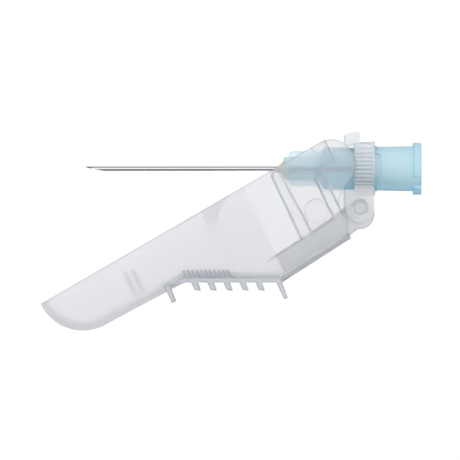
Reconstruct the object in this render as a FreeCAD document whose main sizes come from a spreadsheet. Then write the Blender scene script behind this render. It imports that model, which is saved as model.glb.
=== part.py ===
import FreeCAD, Part
import math
import os
import Sketcher
from FreeCAD import Placement, Rotation, Vector

# Safety hypodermic needle with a hinged sheath, lying on its side.
# The origin is the centre of the Luer socket's mouth. +X points out of the socket, the cannula runs along -X,
# +Y is the side that the thumb tab is on and +Z points up from the surface that the part lies on.
# The sheath is drawn as it sits when closed over the cannula, with the hinge pin at its own origin,
# and its placement then swings it open to the angle that it rests at.

SIZES = [
    # steel tube
    ("cannula_diameter", 0.64),
    ("cannula_bore", 0.33),
    ("cannula_reach", 29.8),
    ("cannula_seat", 11.6),
    ("bevel_angle", 10.0),
    ("bevel_lead", 0.78),
    ("lancet_angle", 22.0),
    ("lancet_turn", 38.0),
    # adhesive bead
    ("bead_radius", 1.25),
    ("bead_length", 1.05),
    ("bead_hollow", 2.2),
    ("well_depth", 1.6),
    ("well_floor_radius", 0.6),
    ("glue_gap", 0.01),
    # hub
    ("hub_length", 20.6),
    ("nose_length", 5.8),
    ("nose_radius", 1.75),
    ("nose_chamfer", 0.25),
    ("body_radius", 3.15),
    ("body_chamfer", 0.3),
    ("barrel_length", 6.95),
    ("barrel_rear_radius", 3.4),
    ("barrel_front_radius", 3.26),
    ("socket_radius", 2.15),
    ("socket_depth", 8.0),
    ("socket_taper", 0.03),
    ("socket_floor", 0.55),
    ("lug_radius", 3.9),
    ("lug_width", 1.2),
    ("lug_span", 148.0),
    ("lug_turn", 35.0),
    ("lug_sink", 0.1),
    ("fin_height", 0.85),
    ("fin_width", 0.6),
    ("fin_setback", 0.75),
    ("fin_corner", 0.7),
    ("fin_count", 4.0),
    ("spline_height", 0.24),
    ("spline_width", 0.34),
    ("spline_overrun", 0.3),
    ("spline_count", 24.0),
    ("mark_depth", 0.12),
    ("mark_width", 0.75),
    ("mark_start", 48.7),
    ("mark_span", 65.0),
    # collar
    ("collar_width", 3.1),
    ("collar_radius", 4.05),
    ("press_gap", 0.03),
    ("rim_width", 0.32),
    ("rib_depth", 0.2),
    ("rib_width", 0.42),
    ("rib_crest", 0.16),
    ("rib_count", 40.0),
    ("tab_reach", 1.4),
    ("tab_height", 1.08),
    ("tab_rise", 0.45),
    ("tab_half_width", 3.2),
    ("tab_corner", 0.35),
    ("tab_web", 0.85),
    ("tab_web_half_width", 0.9),
    ("ear_thickness", 0.95),
    ("ear_outer", 3.0),
    ("ear_fore", 2.33),
    ("ear_aft", 2.1),
    ("ear_top", 3.2),
    ("ear_root", 2.0),
    ("hole_bevel", 0.3),
    # hinge
    ("pin_back", 9.15),
    ("pin_drop", 5.87),
    ("pin_radius", 1.0),
    ("pin_bevel", 0.15),
    ("pin_clearance", 0.06),
    ("side_clearance", 0.1),
    ("rest_angle", 25.5),
    ("eye_radius", 2.2),
    ("eye_drop", 0.86),
    ("eye_offset", 0.52),
    ("eye_lean", 33.0),
    ("lug_plate", 1.2),
    ("lug_crest", 0.56),
    ("lug_crest_place", 4.4),
    ("lug_foot", 14.3),
    ("lug_foot_height", 3.4),
    # sheath outline, from the pin, as closed
    ("sheath_reach", 49.4),
    ("nose_bow", 7.0),
    ("rim_height", 7.62),
    ("channel_rise", 0.64),
    ("pad_front", 28.4),
    ("pad_rear", 15.2),
    ("spine_end", 3.28),
    ("spine_rise", 1.5),
    ("lobe_radius", 3.6),
    ("lobe_reach", 2.53),
    ("lobe_height", 7.85),
    ("lobe_foot_place", 0.44),
    ("lobe_foot_height", 4.41),
    ("neck_top_place", 0.69),
    ("neck_top_height", 3.78),
    ("neck_radius", 12.0),
    ("neck_step", 0.2),
    ("neck_step_radius", 3.3),
    ("neck_step_foot", 2.7),
    ("neck_place", 2.4),
    ("neck_foot_height", -0.4),
    # sheath section
    ("rear_half_width", 4.75),
    ("front_half_width", 3.1),
    ("cheek_wall", 0.55),
    ("channel_wall", 0.75),
    ("floor_wall", 0.85),
    ("taper_front", 21.6),
    ("taper_rear", 14.4),
    ("belly_fillet", 1.9),
    # ridges, ribs, catch and bosses inside the sheath
    ("ridge_width", 1.0),
    ("ridge_depth", 0.5),
    ("ridge_draft", 30.0),
    ("ridge_front", 9.3),
    ("ridge_front_top", 10.2),
    ("ridge_front_spread", 0.75),
    ("ridge_rear", 3.6),
    ("ridge_rear_top", 7.1),
    ("ridge_rear_spread", 0.3),
    ("rail_rise", 3.75),
    ("rail_front", 16.6),
    ("tip_rib_width", 0.3),
    ("tip_rib_depth", 0.2),
    ("tip_rib_place", 34.6),
    ("tip_rib_pitch", 1.2),
    ("tip_rib_top", 6.1),
    ("boss_depth", 0.3),
    ("boss_width", 2.0),
    ("boss_place", 1.6),
    ("boss_foot", 7.55),
    ("disc_radius", 1.7),
    ("disc_depth", 0.12),
    ("disc_place", 6.16),
    ("disc_height", 2.4),
    ("catch_clearance", 0.3),
    ("catch_place", 21.6),
    ("catch_width", 1.5),
    ("catch_height", 2.5),
    ("catch_gap", 1.6),
    ("catch_ramp", 4.9),
    ("catch_thickness", 0.5),
    # thumb pad
    ("pad_plate", 0.8),
    ("pad_proud", 0.08),
    ("pad_half_width", 4.7),
    ("tooth_count", 5.0),
    ("tooth_pitch", 2.165),
    ("tooth_width", 0.95),
    ("tooth_height", 1.35),
    ("tooth_draft", 0.2),
    ("tooth_setback", 0.75),
    ("pad_fin_drop", 2.4),
    ("pad_fin_width", 0.8),
    ("pad_fin_overhang", 3.15),
    ("gusset_count", 11.0),
    ("gusset_pitch", 0.6),
    ("gusset_width", 0.24),
    ("gusset_height", 1.05),
    ("gusset_inset", 0.25),
]

doc = FreeCAD.newDocument("safety_needle")
sheet = doc.addObject("Spreadsheet::Sheet", "Sizes")
for row, (alias, size) in enumerate(SIZES, start=1):
    sheet.set(f"A{row}", alias)
    sheet.set(f"B{row}", str(size))
    sheet.setAlias(f"B{row}", alias)
doc.recompute()

ALIASES = {alias for alias, size in SIZES}

# heights and places that several pieces share, each worked out from the sheet
CANNULA_RADIUS = "cannula_diameter / 2"
GLUE_RADIUS = f"({CANNULA_RADIUS} + glue_gap)"
COLLAR_BORE = "(body_radius + spline_height + press_gap)"
COLLAR_FRONT = "(barrel_length + collar_width)"
EAR_INNER = "(ear_outer - ear_thickness)"
LUG_OUTER = f"({EAR_INNER} - side_clearance)"
LUG_INNER = f"({LUG_OUTER} - lug_plate)"
BELLY = "(rim_height - nose_bow)"
PAD_FRONT_HEIGHT = f"({BELLY} + channel_rise)"
PAD_REAR_HEIGHT = f"({PAD_FRONT_HEIGHT} - (pad_front - pad_rear) * tan(rest_angle))"
SPINE_HEIGHT = f"({PAD_REAR_HEIGHT} + spine_rise)"
RAIL_SLOPE = "(spine_rise / (pad_rear - spine_end))"
LOBE_TOP = "(lobe_height + lobe_radius)"
ABOVE = f"({LOBE_TOP} + 2)"


def on_sheet(text):
    """An expression with each alias named as a cell of the sheet."""
    words = []
    word = ""
    for letter in text + " ":
        if letter.isalpha() or letter == "_":
            word += letter
            continue
        words.append("Sizes." + word if word in ALIASES else word)
        words.append(letter)
        word = ""
    return "".join(words).strip()


def number(text):
    """The present value of an expression."""
    found = sheet.evalExpression(on_sheet(text))
    return float(getattr(found, "Value", found))


def bind(thing, field, text):
    thing.setExpression(field, on_sheet(text))


def new_body(name):
    body = doc.addObject("PartDesign::Body", name)
    body.Label = name
    return body


def origin_feature(body, role):
    return next(item for item in body.Origin.OriginFeatures if item.Role == role)


def new_sketch(body, name, plane="XY_Plane", lift=None, turn=0.0):
    """A sketch on one of the body's own planes, lifted along its normal and turned about its first axis."""
    sketch = body.newObject("Sketcher::SketchObject", name)
    sketch.AttachmentSupport = [(origin_feature(body, plane), "")]
    sketch.MapMode = "FlatFace"
    sketch.AttachmentOffset = Placement(Vector(), Rotation(Vector(1, 0, 0), turn))
    if lift:
        bind(sketch, "AttachmentOffset.Base.z", lift)
    return sketch


def constrain(sketch, kind, geometry, point, text):
    """Ties one size of a sketch to the sheet."""
    value = number(text)
    if kind == "Radius":
        index = sketch.addConstraint(Sketcher.Constraint(kind, geometry, value))
    else:
        index = sketch.addConstraint(Sketcher.Constraint(kind, -1, 1, geometry, point, value))
    bind(sketch, f"Constraints[{index}]", text)


def arc_between(start, end, radius, side):
    """The short arc from start to end, with its centre on the left for side 1 and on the right for -1."""
    half = (end - start) * 0.5
    inward = Vector(-half.y, half.x, 0).normalize() * side
    centre = start + half + inward * math.sqrt(radius * radius - half.dot(half))
    first, last = (start, end) if side > 0 else (end, start)
    angles = [math.atan2(point.y - centre.y, point.x - centre.x) for point in (first, last)]
    return Part.ArcOfCircle(Part.Circle(centre, Vector(0, 0, 1), radius), *angles)


def outline(sketch, corners):
    """A closed outline. A corner is (x, y), with a radius and a side too where an arc leaves it."""
    points = [Vector(number(corner[0]), number(corner[1]), 0) for corner in corners]
    first = sketch.GeometryCount
    ends = []
    for index, corner in enumerate(corners):
        start = points[index]
        end = points[(index + 1) % len(points)]
        if len(corner) == 2:
            geometry = sketch.addGeometry(Part.LineSegment(start, end))
            ends.append((1, 2))
        else:
            geometry = sketch.addGeometry(arc_between(start, end, number(corner[2]), corner[3]))
            constrain(sketch, "Radius", geometry, 0, corner[2])
            ends.append((1, 2) if corner[3] > 0 else (2, 1))
    for index, corner in enumerate(corners):
        after = (index + 1) % len(corners)
        leave, reach = ends[index][1], ends[after][0]
        sketch.addConstraint(Sketcher.Constraint("Coincident", first + index, leave, first + after, reach))
        constrain(sketch, "DistanceX", first + index, ends[index][0], corner[0])
        constrain(sketch, "DistanceY", first + index, ends[index][0], corner[1])


def circle(sketch, across, up, radius):
    centre = Vector(number(across), number(up), 0)
    geometry = sketch.addGeometry(Part.Circle(centre, Vector(0, 0, 1), number(radius)))
    constrain(sketch, "DistanceX", geometry, 3, across)
    constrain(sketch, "DistanceY", geometry, 3, up)
    constrain(sketch, "Radius", geometry, 0, radius)


def pad(body, sketch, length, side="One side", backwards=False):
    feature = body.newObject("PartDesign::Pad", sketch.Name + "_pad")
    feature.Profile = sketch
    feature.SideType = side
    feature.Reversed = backwards
    bind(feature, "Length", length)
    return feature


def pocket(body, sketch, length=None, side="One side", backwards=False, draft=None):
    """Cuts a sketch out of the body, right through without a length, and widening as it goes with a draft."""
    feature = body.newObject("PartDesign::Pocket", sketch.Name + "_pocket")
    feature.Profile = sketch
    feature.SideType = side
    feature.Reversed = backwards
    if length:
        bind(feature, "Length", length)
    else:
        feature.Type = "ThroughAll"
    if draft:
        bind(feature, "TaperAngle", draft)
    return feature


def revolve(body, sketch, kind="PartDesign::Revolution", angle="360"):
    feature = body.newObject(kind, sketch.Name + "_turned")
    feature.Profile = sketch
    feature.ReferenceAxis = (sketch, ["H_Axis"])
    bind(feature, "Angle", angle)


def around_axis(body, feature, count):
    pattern = body.newObject("PartDesign::PolarPattern", feature.Name + "_around")
    pattern.Originals = [feature]
    pattern.Axis = (origin_feature(body, "X_Axis"), [""])
    pattern.Angle = 360
    bind(pattern, "Occurrences", count)
    body.Tip = pattern


def mirrored(body, features, name):
    mirror = body.newObject("PartDesign::Mirrored", name)
    mirror.Originals = features
    mirror.MirrorPlane = (origin_feature(body, "XY_Plane"), [""])
    body.Tip = mirror


def rounded(body, name, radius, wanted, kind="PartDesign::Fillet", field="Radius"):
    """Rounds or bevels the edges of the body so far that wanted picks."""
    doc.recompute()
    base = body.Tip
    names = [f"Edge{place}" for place, edge in enumerate(base.Shape.Edges, start=1) if wanted(edge)]
    feature = body.newObject(kind, name)
    feature.Base = (base, names)
    bind(feature, field, radius)


def rim_at(edge, radius, across, up, height):
    """True for the round edge of a hole or a pin at this place and at this height on either side."""
    curve = edge.Curve
    if not isinstance(curve, Part.Circle) or abs(curve.Radius - number(radius)) > 1e-6:
        return False
    near = abs(curve.Center.x - number(across)) < 1e-6 and abs(curve.Center.y - number(up)) < 1e-6
    return near and abs(abs(curve.Center.z) - number(height)) < 1e-6


def cannula():
    """Steel tube with a primary bevel that faces the sheath and two lancet facets at its point."""
    body = new_body("cannula")
    tip = "-(hub_length + cannula_reach)"
    section = new_sketch(body, "tube_section", "YZ_Plane", tip)
    circle(section, "0", "0", CANNULA_RADIUS)
    circle(section, "0", "0", "cannula_bore / 2")
    pad(body, section, "cannula_reach + cannula_seat")
    tip_shift = f"({CANNULA_RADIUS} * (1 - cos(lancet_turn)) / tan(lancet_angle))"
    facets = [
        ("bevel", "bevel_angle", 0.0, "bevel_lead"),
        ("lancet_near", "lancet_angle", number("lancet_turn"), tip_shift),
        ("lancet_far", "lancet_angle", -number("lancet_turn"), tip_shift),
    ]
    for name, angle, turn, shift in facets:
        facet = new_sketch(body, name, turn=turn)
        start = f"{tip} - {shift}"
        spare = f"{CANNULA_RADIUS} / tan({angle})"
        outline(facet, [
            (f"{start} - {spare}", "cannula_diameter"),
            (f"{start} - {spare}", "-cannula_diameter"),
            (f"{start} + 3 * {spare}", "-cannula_diameter"),
        ])
        pocket(body, facet, "4 * cannula_diameter", "Symmetric")
    return body


def adhesive():
    """Bead that fills the well in the hub's nose and tapers forward on to the tube."""
    body = new_body("adhesive")
    section = new_sketch(body, "bead_section")
    well_floor = "-(hub_length - well_depth + glue_gap)"
    outline(section, [
        ("-(hub_length + bead_length)", GLUE_RADIUS),
        (well_floor, GLUE_RADIUS),
        (well_floor, "well_floor_radius - glue_gap"),
        ("-hub_length", "bead_radius - glue_gap", "bead_hollow", -1),
        ("-(hub_length + bead_length)", f"{GLUE_RADIUS} + glue_gap"),
    ])
    revolve(body, section)
    return body


def hub():
    """Luer lock hub: tapered socket, two thread lugs, press splines and a finned nose."""
    body = new_body("hub")
    section = new_sketch(body, "hub_section")
    bore = f"({GLUE_RADIUS} + glue_gap)"
    shoulder = "-(hub_length - nose_length)"
    outline(section, [
        ("-hub_length", "bead_radius"),
        ("-(hub_length - well_depth)", "well_floor_radius"),
        ("-(hub_length - well_depth)", bore),
        ("-(socket_depth + socket_floor)", bore),
        ("-socket_depth", "socket_radius - socket_taper * socket_depth"),
        ("0", "socket_radius"),
        ("0", "barrel_rear_radius"),
        ("-barrel_length", "barrel_front_radius"),
        ("-barrel_length", "body_radius"),
        (f"{shoulder} + body_chamfer", "body_radius"),
        (shoulder, "body_radius - body_chamfer"),
        (shoulder, "nose_radius"),
        ("-(hub_length - nose_chamfer)", "nose_radius"),
        ("-hub_length", "nose_radius - nose_chamfer"),
    ])
    revolve(body, section)

    lug = new_sketch(body, "lug_sector", "YZ_Plane")
    root = "(barrel_rear_radius - lug_sink)"
    start = "(lug_turn - lug_span / 2)"
    end = "(lug_turn + lug_span / 2)"
    outline(lug, [
        (f"{root} * cos{start}", f"{root} * sin{start}", root, 1),
        (f"{root} * cos{end}", f"{root} * sin{end}"),
        (f"lug_radius * cos{end}", f"lug_radius * sin{end}", "lug_radius", -1),
        (f"lug_radius * cos{start}", f"lug_radius * sin{start}"),
    ])
    around_axis(body, pad(body, lug, "lug_width", backwards=True), "2")

    fin = new_sketch(body, "nose_fin")
    fin_top = "(nose_radius + fin_height)"
    fin_front = "-(hub_length - fin_setback)"
    outline(fin, [
        (fin_front, "nose_radius - fin_width / 2"),
        (fin_front, f"{fin_top} - fin_corner", "fin_corner", -1),
        (f"{fin_front} + fin_corner", fin_top),
        (f"{shoulder} + body_chamfer", fin_top),
        (f"{shoulder} + body_chamfer", "nose_radius - fin_width / 2"),
    ])
    around_axis(body, pad(body, fin, "fin_width", "Symmetric"), "fin_count")

    spline = new_sketch(body, "press_spline")
    spline_top = "(body_radius + spline_height)"
    outline(spline, [
        (f"-{COLLAR_FRONT}", "body_radius - spline_height"),
        (f"-{COLLAR_FRONT}", spline_top),
        ("-(barrel_length - spline_overrun)", spline_top),
        ("-(barrel_length - spline_overrun)", "body_radius - spline_height"),
    ])
    around_axis(body, pad(body, spline, "spline_width", "Symmetric"), "spline_count")

    mark = new_sketch(body, "barrel_mark", turn=number("mark_start"))
    outline(mark, [
        ("-(barrel_length + mark_depth)", "barrel_front_radius - mark_depth"),
        ("-(barrel_length - mark_width)", "barrel_front_radius - mark_depth"),
        ("-(barrel_length - mark_width)", "barrel_rear_radius"),
        ("-(barrel_length + mark_depth)", "barrel_rear_radius"),
    ])
    revolve(body, mark, "PartDesign::Groove", "mark_span")
    return body


def collar():
    """Ring pressed on the hub's splines, with grip ribs, the thumb tab and the two hinge ears."""
    body = new_body("collar")
    ring = new_sketch(body, "ring_section")
    rib_root = "(collar_radius - rib_depth)"
    outline(ring, [
        (f"-{COLLAR_FRONT}", COLLAR_BORE),
        ("-barrel_length", COLLAR_BORE),
        ("-barrel_length", "collar_radius"),
        ("-(barrel_length + rim_width)", "collar_radius"),
        ("-(barrel_length + rim_width)", rib_root),
        (f"-{COLLAR_FRONT}", rib_root),
    ])
    revolve(body, ring)

    rib = new_sketch(body, "grip_rib", "YZ_Plane", f"-{COLLAR_FRONT}")
    rib_top = f"({rib_root} + rib_depth - press_gap)"
    outline(rib, [
        (f"{rib_root} - press_gap", "-rib_width / 2"),
        (rib_top, "-rib_crest / 2"),
        (rib_top, "rib_crest / 2"),
        (f"{rib_root} - press_gap", "rib_width / 2"),
    ])
    around_axis(body, pad(body, rib, "collar_width - rim_width / 2"), "rib_count")

    tab = new_sketch(body, "tab_block")
    tab_foot = f"({COLLAR_BORE} + press_gap)"
    tab_front_top = "(collar_radius + tab_height)"
    tab_mid_top = f"({tab_front_top} + tab_rise * tab_reach / (tab_reach + tab_web))"
    outline(tab, [
        (f"-({COLLAR_FRONT} + tab_reach)", tab_foot),
        (f"-{COLLAR_FRONT}", tab_foot),
        (f"-{COLLAR_FRONT}", tab_mid_top),
        (f"-({COLLAR_FRONT} + tab_reach)", tab_front_top),
    ])
    pad(body, tab, "2 * tab_half_width", "Symmetric")
    web = new_sketch(body, "tab_web")
    outline(web, [
        (f"-({COLLAR_FRONT} + press_gap)", tab_foot),
        (f"-({COLLAR_FRONT} - tab_web)", tab_foot),
        (f"-({COLLAR_FRONT} - tab_web)", f"{tab_front_top} + tab_rise"),
        (f"-({COLLAR_FRONT} + press_gap)", tab_mid_top),
    ])
    pad(body, web, "2 * tab_web_half_width", "Symmetric")

    ear = new_sketch(body, "ear_plate", lift=EAR_INNER)
    fore = "-(pin_back + ear_fore)"
    aft = "-(pin_back - ear_aft)"
    ear_radius = "((ear_fore + ear_aft) / 2)"
    outline(ear, [
        (aft, "-ear_root"),
        (f"-{COLLAR_FRONT}", "-ear_root"),
        (f"-{COLLAR_FRONT}", "-ear_top"),
        (fore, "-ear_top"),
        (fore, "-pin_drop", ear_radius, 1),
        (f"{fore} + {ear_radius}", f"-(pin_drop + {ear_radius})", ear_radius, 1),
        (aft, "-pin_drop"),
    ])
    mirrored(body, [pad(body, ear, "ear_thickness")], "far_ear")
    hole = new_sketch(body, "pin_hole")
    circle(hole, "-pin_back", "-pin_drop", "pin_radius + pin_clearance")
    pocket(body, hole, side="Symmetric")
    bore = new_sketch(body, "collar_bore", "YZ_Plane")
    circle(bore, "0", "0", COLLAR_BORE)
    pocket(body, bore, side="Symmetric")
    crest = number("collar_radius + tab_height / 2")
    front = number(f"-({COLLAR_FRONT} + tab_reach)")
    rear = number(f"-({COLLAR_FRONT} - tab_web)")

    def tab_corner(edge):
        box = edge.BoundBox
        across = box.XLength < 1e-6 and box.YLength < 1e-6
        at_end = box.XMin < front + 1e-6 or box.XMin > rear - 1e-6
        return across and at_end and box.YMin > crest

    def hole_rim(edge):
        return rim_at(edge, "pin_radius + pin_clearance", "-pin_back", "-pin_drop", "ear_outer")

    rounded(body, "tab_corners", "tab_corner", tab_corner)
    rounded(body, "hole_bevels", "hole_bevel", hole_rim, "PartDesign::Chamfer", "Size")
    return body


def flanks(body, name, front, rear):
    """Trims both sides of a body to a plan that is narrow in front, flares and is wide at the rear."""
    sketch = new_sketch(body, name, "XZ_Plane")
    for side in ("", "-"):
        outline(sketch, [
            ("-(sheath_reach + 1)", f"{side}({front})"),
            ("-taper_front", f"{side}({front})"),
            ("-taper_rear", f"{side}({rear})"),
            ("-taper_rear", f"{side}({rear} + 1)"),
            ("-(sheath_reach + 1)", f"{side}({rear} + 1)"),
        ])
    pocket(body, sketch, side="Symmetric")


def along_belly(offset):
    """Picks the side edges of the underside, from the nose's bow to the spine's end."""
    bow = Vector(number("nose_bow - sheath_reach"), number("rim_height"), 0)
    radius = number("nose_bow") - offset
    corners = [
        Vector(bow.x, bow.y - radius, 0),
        Vector(-number("pad_front"), number(PAD_FRONT_HEIGHT) + offset, 0),
        Vector(-number("pad_rear"), number(PAD_REAR_HEIGHT) + offset, 0),
        Vector(-number("spine_end"), number(SPINE_HEIGHT) + offset, 0),
    ]

    def near(point):
        flat = Vector(point.x, point.y, 0)
        on_bow = flat.x <= bow.x + 1e-4 and abs((flat - bow).Length - radius) < 1e-3 and flat.y < bow.y + 1e-4
        on_line = any(
            flat.distanceToLineSegment(first, second).Length < 1e-3
            for first, second in zip(corners, corners[1:])
        )
        return on_bow or on_line

    def wanted(edge):
        middle = edge.valueAt((edge.FirstParameter + edge.LastParameter) / 2)
        ends = [vertex.Point for vertex in edge.Vertexes]
        across = max(abs(end.z - middle.z) for end in ends)
        level = across < 1e-6 or edge.BoundBox.XLength > 1e-3
        return level and abs(middle.z) > 1 and near(middle) and all(near(end) for end in ends)

    return wanted


def sheath_outside():
    """The sheath's outer form: side outline, flared plan, rounded underside and the thumb pad."""
    body = new_body("sheath_outside")
    side = new_sketch(body, "side_outline")
    outline(side, [
        ("-sheath_reach", "rim_height", "nose_bow", 1),
        ("-(sheath_reach - nose_bow)", BELLY),
        ("-pad_front", PAD_FRONT_HEIGHT),
        ("-pad_rear", PAD_REAR_HEIGHT),
        ("-spine_end", SPINE_HEIGHT),
        ("-spine_end", f"{SPINE_HEIGHT} + floor_wall"),
        ("-neck_place", "neck_foot_height", "neck_radius", -1),
        ("-neck_top_place", "neck_top_height"),
        ("lobe_foot_place", "lobe_foot_height", "lobe_radius", 1),
        ("lobe_reach", "lobe_height", "lobe_radius", 1),
        ("lobe_reach - lobe_radius", LOBE_TOP),
    ])
    pad(body, side, "2 * rear_half_width", "Symmetric")
    flanks(body, "outer_flanks", "front_half_width", "rear_half_width")
    rounded(body, "belly_edges", "belly_fillet", along_belly(0.0))

    step = new_sketch(body, "neck_step", lift="rear_half_width - neck_step")
    outline(step, [
        ("neck_top_place", "neck_top_height"),
        ("neck_top_place", "neck_foot_height"),
        ("-neck_step_foot", "neck_foot_height", "neck_step_radius", -1),
        ("-neck_top_place", "neck_top_height"),
    ])
    pocket(body, step, "2 * neck_step", backwards=True)
    return body


def thumb_pad():
    """Plate along the sloping underside, with side gussets, grip teeth and an end fin before and behind."""
    body = new_body("thumb_pad")
    slope = "tan(rest_angle)"
    front = "(pad_front + pad_fin_overhang)"
    front_height = f"({PAD_FRONT_HEIGHT} + pad_plate / 2)"
    plate = new_sketch(body, "pad_plate")
    outline(plate, [
        (f"-({front} - pad_fin_width / 2)", front_height),
        ("-pad_front", f"{PAD_FRONT_HEIGHT} - pad_proud"),
        ("-(pad_rear + pad_proud)", f"{PAD_REAR_HEIGHT} + pad_proud * {slope} - pad_proud"),
        ("-(pad_rear + pad_proud)", f"{PAD_REAR_HEIGHT} + pad_proud * {slope} + pad_plate - pad_proud"),
        ("-pad_front", f"{PAD_FRONT_HEIGHT} + pad_plate - pad_proud"),
    ])
    pad(body, plate, "2 * pad_half_width", "Symmetric")

    teeth = new_sketch(body, "pad_teeth")
    for index in range(round(number("tooth_count"))):
        place = f"(pad_front - tooth_setback - {index} * tooth_pitch)"
        height = f"({PAD_FRONT_HEIGHT} - (pad_front - {place}) * {slope})"
        outline(teeth, [
            (f"-{place}", f"{height} + pad_plate / 2"),
            (f"-{place}", f"{height} - tooth_height"),
            (f"-({place} - tooth_width + tooth_draft)", f"{height} - tooth_height - tooth_width * {slope}"),
            (f"-({place} - tooth_width)", f"{height} + pad_plate / 2 - tooth_width * {slope}"),
        ])
    pad(body, teeth, "2 * pad_half_width", "Symmetric")

    fins = new_sketch(body, "pad_fins")
    rear = "(pad_rear + pad_fin_width + 2 * pad_proud)"
    for place, height in ((front, front_height), (rear, PAD_REAR_HEIGHT)):
        outline(fins, [
            (f"-{place}", f"{height} + pad_plate / 2"),
            (f"-{place}", f"{height} - pad_fin_drop"),
            (f"-({place} - pad_fin_width + tooth_draft)", f"{height} - pad_fin_drop"),
            (f"-({place} - pad_fin_width)", f"{height} + pad_plate / 2"),
        ])
    pad(body, fins, "2 * pad_half_width", "Symmetric")

    gussets = new_sketch(body, "pad_gussets")
    for index in range(round(number("gusset_count"))):
        place = f"(pad_front - gusset_pitch / 2 - {index} * gusset_pitch)"
        height = f"({PAD_FRONT_HEIGHT} - (pad_front - {place}) * {slope} + pad_plate / 2)"
        top = f"({height} + pad_plate / 2 + gusset_height)"
        outline(gussets, [
            (f"-{place}", height),
            (f"-({place} - gusset_width)", height),
            (f"-({place} - gusset_width)", top),
            (f"-{place}", top),
        ])
    pad(body, gussets, "2 * (pad_half_width - gusset_inset)", "Symmetric")
    return body


def sheath_cavity():
    """The space inside the sheath, less what stands in it: ridges, rails, ribs, bosses and the catch."""
    body = new_body("sheath_cavity")
    side = new_sketch(body, "cavity_outline")
    inner_bow = "(nose_bow - floor_wall)"
    outline(side, [
        ("-(sheath_reach - floor_wall)", ABOVE),
        ("-(sheath_reach - floor_wall)", "rim_height", inner_bow, 1),
        ("-(sheath_reach - nose_bow)", f"{BELLY} + floor_wall"),
        ("-pad_front", f"{PAD_FRONT_HEIGHT} + floor_wall"),
        ("-pad_rear", f"{PAD_REAR_HEIGHT} + floor_wall"),
        ("-spine_end", f"{SPINE_HEIGHT} + floor_wall"),
        ("lobe_reach + 1", f"{SPINE_HEIGHT} + floor_wall"),
        ("lobe_reach + 1", ABOVE),
    ])
    inner_rear = "(rear_half_width - cheek_wall)"
    inner_front = "(front_half_width - channel_wall)"
    pad(body, side, f"2 * {inner_rear}", "Symmetric")
    flanks(body, "inner_flanks", inner_front, inner_rear)
    rounded(body, "cavity_edges", "belly_fillet - channel_wall", along_belly(number("floor_wall")))

    standing = []
    ridges = [
        ("front_ridge", "ridge_front", "ridge_front_top", "ridge_front_spread"),
        ("rear_ridge", "ridge_rear", "ridge_rear_top", "ridge_rear_spread"),
    ]
    for name, place, top, spread in ridges:
        ridge = new_sketch(body, name, lift=f"{inner_rear} - ridge_depth")
        round_start = f"{top} - ridge_width / 2"
        outline(ridge, [
            (f"-({place} + ridge_width / 2)", PAD_REAR_HEIGHT),
            (f"-({place} - ridge_width / 2 - {spread})", PAD_REAR_HEIGHT),
            (f"-({place} - ridge_width / 2)", round_start, "ridge_width / 2", 1),
            (f"-{place}", top, "ridge_width / 2", 1),
            (f"-({place} + ridge_width / 2)", round_start),
        ])
        standing.append(pocket(body, ridge, "ridge_depth + 1", backwards=True, draft="ridge_draft"))
    rail = new_sketch(body, "lower_rail", lift=f"{inner_rear} - ridge_depth")
    rail_top = f"({PAD_REAR_HEIGHT} + rail_rise)"
    outline(rail, [
        ("-rail_front", PAD_REAR_HEIGHT),
        ("0", PAD_REAR_HEIGHT),
        ("0", f"{rail_top} + pad_rear * {RAIL_SLOPE}"),
        ("-rail_front", f"{rail_top} - (rail_front - pad_rear) * {RAIL_SLOPE}"),
    ])
    standing.append(pocket(body, rail, "ridge_depth + 1", backwards=True, draft="ridge_draft"))
    ribs = new_sketch(body, "tip_ribs", lift=f"{inner_front} - tip_rib_depth")
    for index in range(2):
        place = f"(tip_rib_place + {index} * tip_rib_pitch)"
        outline(ribs, [
            (f"-({place} + tip_rib_width)", BELLY),
            (f"-{place}", BELLY),
            (f"-{place}", "tip_rib_top"),
            (f"-({place} + tip_rib_width)", "tip_rib_top"),
        ])
    standing.append(pocket(body, ribs, "tip_rib_depth + 1", backwards=True, draft="ridge_draft"))
    boss = new_sketch(body, "catch_boss", lift=f"{inner_rear} - boss_depth")
    outline(boss, [
        ("-(boss_place + boss_width / 2)", "boss_foot"),
        ("-(boss_place - boss_width / 2)", "boss_foot"),
        ("-(boss_place - boss_width / 2)", ABOVE),
        ("-(boss_place + boss_width / 2)", ABOVE),
    ])
    standing.append(pocket(body, boss, "boss_depth + 1", backwards=True, draft="ridge_draft"))
    disc = new_sketch(body, "gate_disc", lift=f"{inner_rear} - disc_depth")
    circle(disc, "-disc_place", "disc_height", "disc_radius")
    standing.append(pocket(body, disc, "disc_depth + 1", backwards=True, draft="ridge_draft"))
    mirrored(body, standing, "far_side_features")

    catch = new_sketch(body, "needle_catch", lift=f"{CANNULA_RADIUS} + catch_clearance")
    tip = "(catch_place - catch_width)"
    foot = "(pin_drop + catch_gap)"
    ramp_rise = "catch_ramp / 2"
    outline(catch, [
        ("-catch_place", f"{foot} + catch_thickness"),
        (f"-{tip}", foot),
        (f"-({tip} - catch_thickness)", f"{foot} + catch_height / 2"),
        (f"-({tip} - catch_ramp)", f"{foot} + catch_height / 2 + {ramp_rise}"),
        (f"-({tip} - catch_ramp)", f"{foot} + catch_height / 2 + {ramp_rise} + 2 * catch_thickness"),
        (f"-{tip}", f"{foot} + catch_height"),
        ("-catch_place", f"{foot} + catch_height"),
    ])
    pocket(body, catch, "rear_half_width", backwards=True)
    return body


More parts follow.
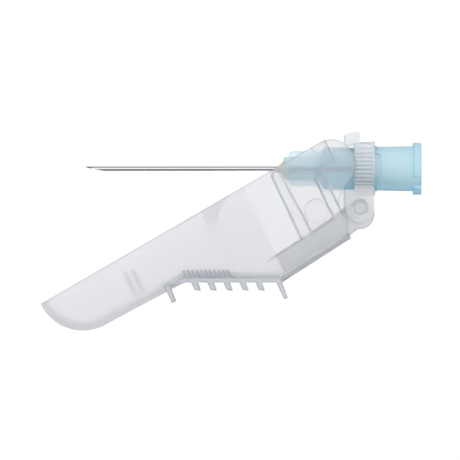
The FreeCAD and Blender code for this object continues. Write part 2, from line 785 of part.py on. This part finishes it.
def hinge_lugs():
    """Two plates that rise from the sheath's floor to an offset eye each, with a pin outward on each eye."""
    body = new_body("hinge_lugs")
    foot_floor = f"({PAD_REAR_HEIGHT} + (pad_rear - lug_foot) * {RAIL_SLOPE} + floor_wall / 2)"
    plate = new_sketch(body, "lug_plate", lift=LUG_INNER)
    outline(plate, [
        ("-lug_foot", foot_floor),
        ("-spine_end", f"{SPINE_HEIGHT} + floor_wall / 2"),
        ("-(eye_offset + eye_radius * sin(eye_lean))", "-(eye_drop + eye_radius * cos(eye_lean))"),
        ("-eye_offset", "-eye_drop"),
        ("-eye_offset", "eye_radius - eye_drop"),
        ("-lug_crest_place", "lug_crest"),
        ("-lug_foot", f"{foot_floor} + lug_foot_height"),
    ])
    plate_pad = pad(body, plate, "lug_plate")
    eye = new_sketch(body, "lug_eye", lift=LUG_INNER)
    circle(eye, "-eye_offset", "-eye_drop", "eye_radius")
    eye_pad = pad(body, eye, "lug_plate")
    pin = new_sketch(body, "hinge_pin", lift=LUG_INNER)
    circle(pin, "0", "0", "pin_radius")
    pin_pad = pad(body, pin, f"ear_outer - {LUG_INNER}")
    mirrored(body, [plate_pad, eye_pad, pin_pad], "far_lug")

    def pin_rim(edge):
        return rim_at(edge, "pin_radius", "0", "0", "ear_outer")

    rounded(body, "pin_bevels", "pin_bevel", pin_rim, "PartDesign::Chamfer", "Size")
    return body


def joined(kind, name, shapes):
    feature = doc.addObject(kind, name)
    if kind == "Part::Cut":
        feature.Base, feature.Tool = shapes
    else:
        feature.Shapes = shapes
    return feature


def sheath():
    """The whole sheath as one moulding, swung open to its rest angle about the hinge pin."""
    solid_form = joined("Part::MultiFuse", "sheath_form", [sheath_outside(), thumb_pad()])
    shell = joined("Part::Cut", "sheath_shell", [solid_form, sheath_cavity()])
    whole = joined("Part::MultiFuse", "sheath", [shell, hinge_lugs()])
    bind(whole, "Placement.Base.x", "-pin_back")
    bind(whole, "Placement.Base.y", "-pin_drop")
    whole.Placement.Rotation = Rotation(Vector(0, 0, 1), number("rest_angle"))
    bind(whole, "Placement.Rotation.Angle", "rest_angle * 1 deg")
    return whole


nodes = [cannula(), adhesive(), hub(), collar(), sheath()]
doc.recompute()

for item in doc.Objects:
    if {"Invalid", "Error"} & set(item.State):
        raise RuntimeError(f"{item.Name} did not compute: {item.State}")
for node in nodes:
    if node.Shape.isNull() or not node.Shape.isValid():
        raise RuntimeError(f"{node.Label} has no valid shape")
    if len(node.Shape.Solids) != 1:
        raise RuntimeError(f"{node.Label} is {len(node.Shape.Solids)} solids instead of one")

os.makedirs("parts", exist_ok=True)
for node in nodes:
    node.Shape.exportStep(os.path.join("parts", node.Label + ".step"))
    box = node.Shape.BoundBox
    spans = f"{box.XLength:.2f} x {box.YLength:.2f} x {box.ZLength:.2f} mm"
    print(f"{node.Label}: {spans}, {node.Shape.Volume:.2f} mm3, {len(node.Shape.Faces)} faces")
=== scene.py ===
import bpy
from bpy.props import FloatProperty, FloatVectorProperty, PointerProperty
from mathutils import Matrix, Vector


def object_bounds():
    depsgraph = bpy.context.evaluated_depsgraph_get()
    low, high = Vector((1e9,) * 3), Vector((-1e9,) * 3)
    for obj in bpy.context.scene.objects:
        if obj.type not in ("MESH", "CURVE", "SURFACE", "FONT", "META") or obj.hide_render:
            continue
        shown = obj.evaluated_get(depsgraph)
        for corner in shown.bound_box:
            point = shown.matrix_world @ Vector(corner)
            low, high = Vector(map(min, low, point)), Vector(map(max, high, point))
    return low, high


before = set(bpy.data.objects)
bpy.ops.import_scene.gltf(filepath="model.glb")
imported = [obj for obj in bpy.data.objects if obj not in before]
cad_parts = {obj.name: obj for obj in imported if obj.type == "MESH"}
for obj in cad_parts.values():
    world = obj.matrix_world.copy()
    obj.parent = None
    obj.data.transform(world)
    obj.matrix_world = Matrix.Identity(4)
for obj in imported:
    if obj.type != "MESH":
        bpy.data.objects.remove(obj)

bl_info = {
    "name": "Safety Needle",
    "version": (1, 0, 0),
    "blender": (4, 5, 0),
    "location": "3D View > Sidebar > Needle",
    "description": "Dresses a safety hypodermic needle with moulded plastic and steel finishes",
    "category": "Object",
}

CAD_BOX = [list(corner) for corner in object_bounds()]

WHITE = (1, 1, 1, 1)

# A Mix node names its sockets alike for numbers, vectors and colours. These are the places of its colour sockets.
MIX_A, MIX_B, MIX_RESULT = 6, 7, 2

# The part of a noise's range that is spread over the whole range of what it drives.
NOISE_LOW, NOISE_HIGH = 0.3, 0.7

# Moulded plastic: its flow and orange peel, and the ambient occlusion at which its painted edge shade is full.
FLOW_SCALE = 260.0
PEEL_SCALE = 4200.0
PEEL_DEPTH = 0.0000012
PEEL_STRENGTH = 0.5
EDGE_FULL = 0.5
EDGE_SAMPLES = 8

# Drawn steel: lines that are long along the tube, the roughness that they add, and their depth.
LINE_SCALE = (20.0, 9000.0, 9000.0)
LINE_ROUGHNESS = 0.14
LINE_DEPTH = 0.000002
LINE_STRENGTH = 0.1

FLOOR_ROUGHNESS = 0.9
FLOOR_SPECULAR = 0.1

# Light all round: its colour from the near side, where along Y it turns white, and where along Z it is full.
SKY_SHADE = (0.10, 0.10, 0.11, 1)
SKY_SPAN = (0.12, 0.62)
HORIZON_SPAN = (0.05, 0.55)

# Overhead soft light, with its place counted from the middle of the view.
OVERHEAD_PLACE = (0.05, 0.35, 0.55)
OVERHEAD_SIZE = 0.5

SENSOR_WIDTH = 36.0
CLIP_START, CLIP_END = 0.05, 10.0
BOUNCES = 24


def colour(name, text, default):
    return FloatVectorProperty(name=name, description=text, subtype="COLOR", size=3, min=0, max=1, default=default)


def share(name, text, default):
    return FloatProperty(name=name, description=text, subtype="FACTOR", min=0, max=1, default=default)


def length(name, text, default):
    return FloatProperty(name=name, description=text, unit="LENGTH", min=0, default=default)


def coordinate(name, text, default):
    return FloatProperty(name=name, description=text, unit="LENGTH", default=default)


def amount(name, text, default):
    return FloatProperty(name=name, description=text, min=0, default=default)


def index(name, text, default):
    return FloatProperty(name=name, description=text, min=1, max=2, default=default)


class SteelSettings(bpy.types.PropertyGroup):
    tint: colour("Steel", "Colour of the polished tube", (0.55, 0.55, 0.57))
    ground_tint: colour("Ground steel", "Colour of the marks left by drawing and grinding", (0.40, 0.40, 0.43))
    roughness: share("Roughness", "Roughness of the drawn tube", 0.16)


class AdhesiveSettings(bpy.types.PropertyGroup):
    tint: colour("Adhesive", "Colour of the cured bead", (0.93, 0.90, 0.78))
    flow_tint: colour("Adhesive flow", "Colour where the bead ran thicker", (0.90, 0.86, 0.72))
    # Painted shade: a darker colour laid along the edges, with the width below.
    painted_edge_shade: colour("Adhesive edges", "Colour along the edges, where less light gets out", (0.86, 0.83, 0.70))
    edge_width: length("Edge width", "Width of the darker line along each edge", 0.0002)
    roughness: share("Roughness", "Roughness of the cured bead", 0.3)
    haze: share("Haze", "Roughness that the haze adds where it is strongest", 0.08)
    transmission: share("Transmission", "Share of the light that passes into the bead", 0.5)
    ior: index("Index", "Index of refraction of the bead", 1.3)


class HubSettings(bpy.types.PropertyGroup):
    tint: colour("Hub", "Colour of the hub's plastic", (0.905, 0.972, 0.99))
    flow_tint: colour("Hub flow", "Colour where the melt flowed thicker", (0.88, 0.955, 0.98))
    # Painted shade: a darker colour laid along the edges, with the width below.
    painted_edge_shade: colour("Hub edges", "Colour along the edges, where less light gets out", (0.40, 0.74, 0.84))
    edge_width: length("Edge width", "Width of the darker line along each edge", 0.00025)
    depth_tint: colour("Hub depth", "Colour that light takes on inside thick walls", (0.16, 0.70, 0.83))
    depth: amount("Depth", "Absorption for each metre of plastic", 270.0)
    roughness: share("Roughness", "Roughness of the hub", 0.38)
    haze: share("Haze", "Roughness that the haze adds where it is strongest", 0.05)
    transmission: share("Transmission", "Share of the light that passes into the hub", 0.68)
    ior: index("Index", "Index of refraction of the hub", 1.2)


class CollarSettings(bpy.types.PropertyGroup):
    tint: colour("Collar", "Colour of the collar's plastic", (0.975, 0.98, 0.99))
    flow_tint: colour("Collar flow", "Colour where the melt flowed thicker", (0.96, 0.967, 0.98))
    # Painted shade: a darker colour laid along the edges, with the width below.
    painted_edge_shade: colour("Collar edges", "Colour along the edges, where less light gets out", (0.78, 0.84, 0.88))
    edge_width: length("Edge width", "Width of the darker line along each edge", 0.00013)
    depth_tint: colour("Collar depth", "Colour that light takes on inside thick walls", (0.78, 0.85, 0.90))
    depth: amount("Depth", "Absorption for each metre of plastic", 140.0)
    roughness: share("Roughness", "Roughness of the collar", 0.2)
    haze: share("Haze", "Roughness that the haze adds where it is strongest", 0.05)
    transmission: share("Transmission", "Share of the light that passes into the collar", 0.6)
    ior: index("Index", "Index of refraction of the collar", 1.3)


class SheathSettings(bpy.types.PropertyGroup):
    tint: colour("Sheath", "Colour of the sheath's milky plastic", (0.94, 0.943, 0.953))
    flow_tint: colour("Sheath flow", "Colour where the melt flowed thicker", (0.915, 0.918, 0.93))
    # Painted shade: a darker colour laid along the edges, with the width below.
    painted_edge_shade: colour("Sheath edges", "Colour along the edges, where less light gets out", (0.45, 0.47, 0.51))
    edge_width: length("Edge width", "Width of the darker line along each edge", 0.00025)
    depth_tint: colour("Sheath depth", "Colour that light takes on inside thick walls", (0.81, 0.825, 0.85))
    depth: amount("Depth", "Absorption for each metre of plastic", 290.0)
    roughness: share("Roughness", "Roughness of the sheath", 0.275)
    haze: share("Haze", "Roughness that the haze adds where it is strongest", 0.05)
    transmission: share("Transmission", "Share of the light that passes into the sheath", 0.86)
    ior: index("Index", "Index of refraction of the sheath", 1.18)


class StageSettings(bpy.types.PropertyGroup):
    view_width: length("View width", "Width that the camera sees", 0.069)
    view_x: coordinate("View X", "Middle of the view along X", -0.02865)
    view_y: coordinate("View Y", "Middle of the view along Y", -0.009195)
    lens: amount("Lens", "Focal length in millimetres", 600.0)
    floor_size: length("Floor", "Width of the floor", 0.5)
    floor_tint: colour("Floor", "Colour of the floor", (0.05, 0.05, 0.05))
    floor_glow: amount("Floor glow", "Light that the floor gives by itself", 1.0)
    floor_mirrored: share("Mirrored floor", "Share of the floor's light that shows in reflections", 0.08)
    sky_light: amount("Sky light", "Strength of the light all round", 1.45)
    horizon: share("Horizon", "Share of the light all round that is left near the horizon", 0.35)
    soft_light: FloatProperty(
        name="Soft light", description="Power of the overhead soft light", unit="POWER", min=0, default=0.6
    )


SETTINGS = {
    "needle_steel": SteelSettings,
    "needle_adhesive": AdhesiveSettings,
    "needle_hub": HubSettings,
    "needle_collar": CollarSettings,
    "needle_sheath": SheathSettings,
    "needle_stage": StageSettings,
}


def node(tree, kind, **sockets):
    """Adds a node and sets the sockets that are named, with an underscore for each space in a name."""
    made = tree.nodes.new(kind)
    for name, value in sockets.items():
        made.inputs[name.replace("_", " ")].default_value = value
    return made


def colour_mix(tree):
    mix = tree.nodes.new("ShaderNodeMix")
    mix.data_type = "RGBA"
    return mix


def arithmetic(tree, operation, clamp=False):
    made = tree.nodes.new("ShaderNodeMath")
    made.operation = operation
    made.use_clamp = clamp
    return made


def moulded_surface_group():
    """Slow changes of shade along the flow of the melt, painted shade along the edges, a haze in the gloss and a
    faint orange peel.
    """
    name = "moulded_surface"
    if name in bpy.data.node_groups:
        return bpy.data.node_groups[name]
    tree = bpy.data.node_groups.new(name, "ShaderNodeTree")
    for label, kind, value in (
        ("Tint", "NodeSocketColor", WHITE),
        ("Flow Tint", "NodeSocketColor", WHITE),
        ("Edge Tint", "NodeSocketColor", WHITE),
        ("Painted Shade Width", "NodeSocketFloat", 0.0002),
        ("Flow Scale", "NodeSocketFloat", FLOW_SCALE),
        ("Peel Scale", "NodeSocketFloat", PEEL_SCALE),
        ("Roughness", "NodeSocketFloat", 0.3),
        ("Haze", "NodeSocketFloat", 0.08),
    ):
        socket = tree.interface.new_socket(label, in_out="INPUT", socket_type=kind)
        socket.default_value = value
    for label, kind in (
        ("Colour", "NodeSocketColor"),
        ("Roughness", "NodeSocketFloat"),
        ("Height", "NodeSocketFloat"),
    ):
        tree.interface.new_socket(label, in_out="OUTPUT", socket_type=kind)
    put_in = tree.nodes.new("NodeGroupInput")
    put_out = tree.nodes.new("NodeGroupOutput")
    place = tree.nodes.new("ShaderNodeTexCoord")
    flow = node(tree, "ShaderNodeTexNoise", Detail=3.0, Roughness=0.55)
    peel = node(tree, "ShaderNodeTexNoise", Detail=2.0, Roughness=0.5)
    blend = colour_mix(tree)
    haze = node(tree, "ShaderNodeMapRange", From_Min=NOISE_LOW, From_Max=NOISE_HIGH)
    rough = arithmetic(tree, "MULTIPLY_ADD")
    # Painted shade: an ambient occlusion mask, traced inside the piece, darkens the colour near every convex edge. It
    # stands in for the dark lines that refraction gives at the edges.
    corner = tree.nodes.new("ShaderNodeAmbientOcclusion")
    corner.inside = True
    corner.only_local = True
    corner.samples = EDGE_SAMPLES
    away = node(tree, "ShaderNodeMapRange", From_Min=EDGE_FULL, From_Max=1.0)
    # Mixes the painted edge shade over the colour where the occlusion mask is strong.
    rim = colour_mix(tree)
    link = tree.links.new
    for noise, scale in ((flow, "Flow Scale"), (peel, "Peel Scale")):
        link(place.outputs["Object"], noise.inputs["Vector"])
        link(put_in.outputs[scale], noise.inputs["Scale"])
    link(flow.outputs["Fac"], haze.inputs["Value"])
    link(haze.outputs["Result"], blend.inputs["Factor"])
    link(put_in.outputs["Tint"], blend.inputs[MIX_A])
    link(put_in.outputs["Flow Tint"], blend.inputs[MIX_B])
    link(haze.outputs["Result"], rough.inputs[0])
    link(put_in.outputs["Haze"], rough.inputs[1])
    link(put_in.outputs["Roughness"], rough.inputs[2])
    link(put_in.outputs["Painted Shade Width"], corner.inputs["Distance"])
    link(corner.outputs["AO"], away.inputs["Value"])
    link(away.outputs["Result"], rim.inputs["Factor"])
    link(put_in.outputs["Edge Tint"], rim.inputs[MIX_A])
    link(blend.outputs[MIX_RESULT], rim.inputs[MIX_B])
    link(rim.outputs[MIX_RESULT], put_out.inputs["Colour"])
    link(rough.outputs[0], put_out.inputs["Roughness"])
    link(peel.outputs["Fac"], put_out.inputs["Height"])
    return tree


def new_material(name):
    material = bpy.data.materials.new(name)
    material.use_nodes = True
    tree = material.node_tree
    tree.nodes.clear()
    out = tree.nodes.new("ShaderNodeOutputMaterial")
    shader = tree.nodes.new("ShaderNodeBsdfPrincipled")
    tree.links.new(shader.outputs["BSDF"], out.inputs["Surface"])
    return material, tree, shader, out


def add_moulded_surface(tree, shader, settings):
    """Lets light into a shader, gives it the moulded surface, and returns that surface's node."""
    shader.inputs["IOR"].default_value = settings.ior
    shader.inputs["Transmission Weight"].default_value = settings.transmission
    surface = tree.nodes.new("ShaderNodeGroup")
    surface.node_tree = moulded_surface_group()
    surface.inputs["Tint"].default_value = (*settings.tint, 1)
    surface.inputs["Flow Tint"].default_value = (*settings.flow_tint, 1)
    # Painted shade along the edges, laid on by the group's occlusion mask.
    surface.inputs["Edge Tint"].default_value = (*settings.painted_edge_shade, 1)
    surface.inputs["Painted Shade Width"].default_value = settings.edge_width
    surface.inputs["Roughness"].default_value = settings.roughness
    surface.inputs["Haze"].default_value = settings.haze
    tree.links.new(surface.outputs["Colour"], shader.inputs["Base Color"])
    tree.links.new(surface.outputs["Roughness"], shader.inputs["Roughness"])
    return surface


def moulded_plastic(name, settings):
    """Translucent moulded plastic that takes on more colour where its wall is thick."""
    material, tree, shader, out = new_material(name)
    surface = add_moulded_surface(tree, shader, settings)
    bump = node(tree, "ShaderNodeBump", Strength=PEEL_STRENGTH, Distance=PEEL_DEPTH)
    tree.links.new(surface.outputs["Height"], bump.inputs["Height"])
    tree.links.new(bump.outputs["Normal"], shader.inputs["Normal"])
    if settings.depth:
        volume = tree.nodes.new("ShaderNodeVolumeAbsorption")
        volume.inputs["Color"].default_value = (*settings.depth_tint, 1)
        volume.inputs["Density"].default_value = settings.depth
        tree.links.new(volume.outputs["Volume"], out.inputs["Volume"])
    return material


def cured_adhesive(name, settings):
    """Smooth cured adhesive, too thin to colour the light inside it."""
    material, tree, shader, _ = new_material(name)
    add_moulded_surface(tree, shader, settings)
    return material


def steel(name, settings):
    """Drawn and polished steel with fine lines along the tube."""
    material, tree, shader, _ = new_material(name)
    shader.inputs["Metallic"].default_value = 1.0
    place = tree.nodes.new("ShaderNodeTexCoord")
    stretch = node(tree, "ShaderNodeMapping", Scale=LINE_SCALE)
    lines = node(tree, "ShaderNodeTexNoise", Scale=1.0, Detail=4.0)
    blend = colour_mix(tree)
    blend.inputs[MIX_A].default_value = (*settings.tint, 1)
    blend.inputs[MIX_B].default_value = (*settings.ground_tint, 1)
    rough = node(
        tree,
        "ShaderNodeMapRange",
        From_Min=NOISE_LOW,
        From_Max=NOISE_HIGH,
        To_Min=settings.roughness,
        To_Max=settings.roughness + LINE_ROUGHNESS,
    )
    bump = node(tree, "ShaderNodeBump", Strength=LINE_STRENGTH, Distance=LINE_DEPTH)
    link = tree.links.new
    link(place.outputs["Object"], stretch.inputs["Vector"])
    link(stretch.outputs["Vector"], lines.inputs["Vector"])
    link(lines.outputs["Fac"], blend.inputs["Factor"])
    link(lines.outputs["Fac"], rough.inputs["Value"])
    link(lines.outputs["Fac"], bump.inputs["Height"])
    link(blend.outputs[MIX_RESULT], shader.inputs["Base Color"])
    link(rough.outputs["Result"], shader.inputs["Roughness"])
    link(bump.outputs["Normal"], shader.inputs["Normal"])
    return material


def give(name, material):
    """Puts a finish on a piece, in place of what it had."""
    piece = bpy.data.objects[name]
    piece.data.materials.clear()
    piece.data.materials.append(material)


class NEEDLE_OT_cannula(bpy.types.Operator):
    """Finish the steel tube"""
    bl_idname = "needle.cannula"
    bl_label = "Cannula"

    def execute(self, context):
        give("cannula", steel("drawn_steel", context.scene.needle_steel))
        return {"FINISHED"}


class NEEDLE_OT_adhesive(bpy.types.Operator):
    """Finish the adhesive bead between the tube and the hub"""
    bl_idname = "needle.adhesive"
    bl_label = "Adhesive"

    def execute(self, context):
        give("adhesive", cured_adhesive("cured_adhesive", context.scene.needle_adhesive))
        return {"FINISHED"}


class NEEDLE_OT_hub(bpy.types.Operator):
    """Finish the teal Luer lock hub"""
    bl_idname = "needle.hub"
    bl_label = "Hub"

    def execute(self, context):
        give("hub", moulded_plastic("teal_plastic", context.scene.needle_hub))
        return {"FINISHED"}


class NEEDLE_OT_collar(bpy.types.Operator):
    """Finish the ribbed collar with its tab and hinge ears"""
    bl_idname = "needle.collar"
    bl_label = "Collar"

    def execute(self, context):
        give("collar", moulded_plastic("collar_plastic", context.scene.needle_collar))
        return {"FINISHED"}


class NEEDLE_OT_sheath(bpy.types.Operator):
    """Finish the hinged sheath"""
    bl_idname = "needle.sheath"
    bl_label = "Sheath"

    def execute(self, context):
        give("sheath", moulded_plastic("sheath_plastic", context.scene.needle_sheath))
        return {"FINISHED"}


def lay_floor(settings):
    """White floor that glows by itself, and shows dimmer in reflections than to the camera."""
    bpy.ops.object.select_all(action="DESELECT")
    bpy.ops.mesh.primitive_plane_add(
        size=settings.floor_size, location=(settings.view_x, settings.view_y, CAD_BOX[0][2])
    )
    floor = bpy.context.object
    floor.name = "floor"
    material, tree, shader, _ = new_material("floor")
    shader.inputs["Base Color"].default_value = (*settings.floor_tint, 1)
    shader.inputs["Roughness"].default_value = FLOOR_ROUGHNESS
    shader.inputs["Specular IOR Level"].default_value = FLOOR_SPECULAR
    shader.inputs["Emission Strength"].default_value = settings.floor_glow
    ray = tree.nodes.new("ShaderNodeLightPath")
    mirrored = arithmetic(tree, "SUBTRACT", clamp=True)
    glow = colour_mix(tree)
    glow.inputs[MIX_A].default_value = WHITE
    glow.inputs[MIX_B].default_value = (*[settings.floor_mirrored] * 3, 1)
    tree.links.new(ray.outputs["Is Glossy Ray"], mirrored.inputs[0])
    tree.links.new(ray.outputs["Is Transmission Ray"], mirrored.inputs[1])
    tree.links.new(mirrored.outputs[0], glow.inputs["Factor"])
    tree.links.new(glow.outputs[MIX_RESULT], shader.inputs["Emission Color"])
    floor.data.materials.append(material)


def studio_world(settings):
    """Even white to the camera, and light all round that is dimmer from the near side and near the horizon."""
    world = bpy.data.worlds.new("studio")
    world.use_nodes = True
    tree = world.node_tree
    tree.nodes.clear()
    out = tree.nodes.new("ShaderNodeOutputWorld")
    place = tree.nodes.new("ShaderNodeTexCoord")
    split = tree.nodes.new("ShaderNodeSeparateXYZ")
    ramp = tree.nodes.new("ShaderNodeValToRGB")
    for stop, position, tint in zip(ramp.color_ramp.elements, SKY_SPAN, (SKY_SHADE, WHITE)):
        stop.position = position
        stop.color = tint
    span = node(tree, "ShaderNodeMapRange", From_Min=-1.0, From_Max=1.0)
    low, high = HORIZON_SPAN
    height = node(tree, "ShaderNodeMapRange", From_Min=low, From_Max=high, To_Min=settings.horizon, To_Max=1.0)
    strength = arithmetic(tree, "MULTIPLY")
    strength.inputs[1].default_value = settings.sky_light
    around = tree.nodes.new("ShaderNodeBackground")
    behind = node(tree, "ShaderNodeBackground", Color=WHITE, Strength=1.0)
    ray = tree.nodes.new("ShaderNodeLightPath")
    mix = tree.nodes.new("ShaderNodeMixShader")
    link = tree.links.new
    link(place.outputs["Generated"], split.inputs["Vector"])
    link(split.outputs["Y"], span.inputs["Value"])
    link(span.outputs["Result"], ramp.inputs["Fac"])
    link(ramp.outputs["Color"], around.inputs["Color"])
    link(split.outputs["Z"], height.inputs["Value"])
    link(height.outputs["Result"], strength.inputs[0])
    link(strength.outputs[0], around.inputs["Strength"])
    link(ray.outputs["Is Camera Ray"], mix.inputs["Fac"])
    link(around.outputs["Background"], mix.inputs[1])
    link(behind.outputs["Background"], mix.inputs[2])
    link(mix.outputs["Shader"], out.inputs["Surface"])
    bpy.context.scene.world = world


def soft_box(name, place, aim, size, power):
    light = bpy.data.lights.new(name, "AREA")
    light.shape = "DISK"
    light.size = size
    light.energy = power
    lamp = bpy.data.objects.new(name, light)
    lamp.location = place
    lamp.rotation_euler = (Vector(aim) - Vector(place)).to_track_quat("-Z", "Y").to_euler()
    bpy.context.scene.collection.objects.link(lamp)


def set_camera(settings):
    """Long lens that looks straight down, from as far as the width of its view asks for."""
    camera_data = bpy.data.cameras.new("camera")
    camera_data.sensor_width = SENSOR_WIDTH
    camera_data.lens = settings.lens
    camera_data.clip_start = CLIP_START
    camera_data.clip_end = CLIP_END
    camera = bpy.data.objects.new("camera", camera_data)
    distance = settings.view_width * settings.lens / SENSOR_WIDTH
    camera.location = (settings.view_x, settings.view_y, distance)
    bpy.context.scene.collection.objects.link(camera)
    bpy.context.scene.camera = camera


class NEEDLE_OT_stage(bpy.types.Operator):
    """Lay the floor and set the camera and the soft studio light"""
    bl_idname = "needle.stage"
    bl_label = "Stage"

    def execute(self, context):
        scene = context.scene
        settings = scene.needle_stage
        lay_floor(settings)
        studio_world(settings)
        right, back, up = OVERHEAD_PLACE
        soft_box(
            "overhead",
            place=(settings.view_x + right, settings.view_y + back, up),
            aim=(settings.view_x, settings.view_y, 0),
            size=OVERHEAD_SIZE,
            power=settings.soft_light,
        )
        set_camera(settings)
        scene.view_settings.view_transform = "Standard"
        scene.view_settings.look = "None"
        scene.cycles.max_bounces = BOUNCES
        scene.cycles.transmission_bounces = BOUNCES
        scene.cycles.transparent_max_bounces = BOUNCES
        return {"FINISHED"}


class NEEDLE_PT_panel(bpy.types.Panel):
    bl_label = "Safety Needle"
    bl_idname = "NEEDLE_PT_panel"
    bl_space_type = "VIEW_3D"
    bl_region_type = "UI"
    bl_category = "Needle"

    def draw(self, context):
        for operator in OPERATORS:
            self.layout.operator(operator.bl_idname)


OPERATORS = [
    NEEDLE_OT_cannula,
    NEEDLE_OT_adhesive,
    NEEDLE_OT_hub,
    NEEDLE_OT_collar,
    NEEDLE_OT_sheath,
    NEEDLE_OT_stage,
]


def register():
    for kind in [*SETTINGS.values(), *OPERATORS, NEEDLE_PT_panel]:
        bpy.utils.register_class(kind)
    for name, kind in SETTINGS.items():
        setattr(bpy.types.Scene, name, PointerProperty(type=kind))


def unregister():
    for name in SETTINGS:
        delattr(bpy.types.Scene, name)
    for kind in [NEEDLE_PT_panel, *reversed(OPERATORS), *reversed(SETTINGS.values())]:
        bpy.utils.unregister_class(kind)


def main():
    register()
    for operator in OPERATORS:
        group, name = operator.bl_idname.split(".")
        getattr(getattr(bpy.ops, group), name)()


if __name__ == "__main__":
    main()
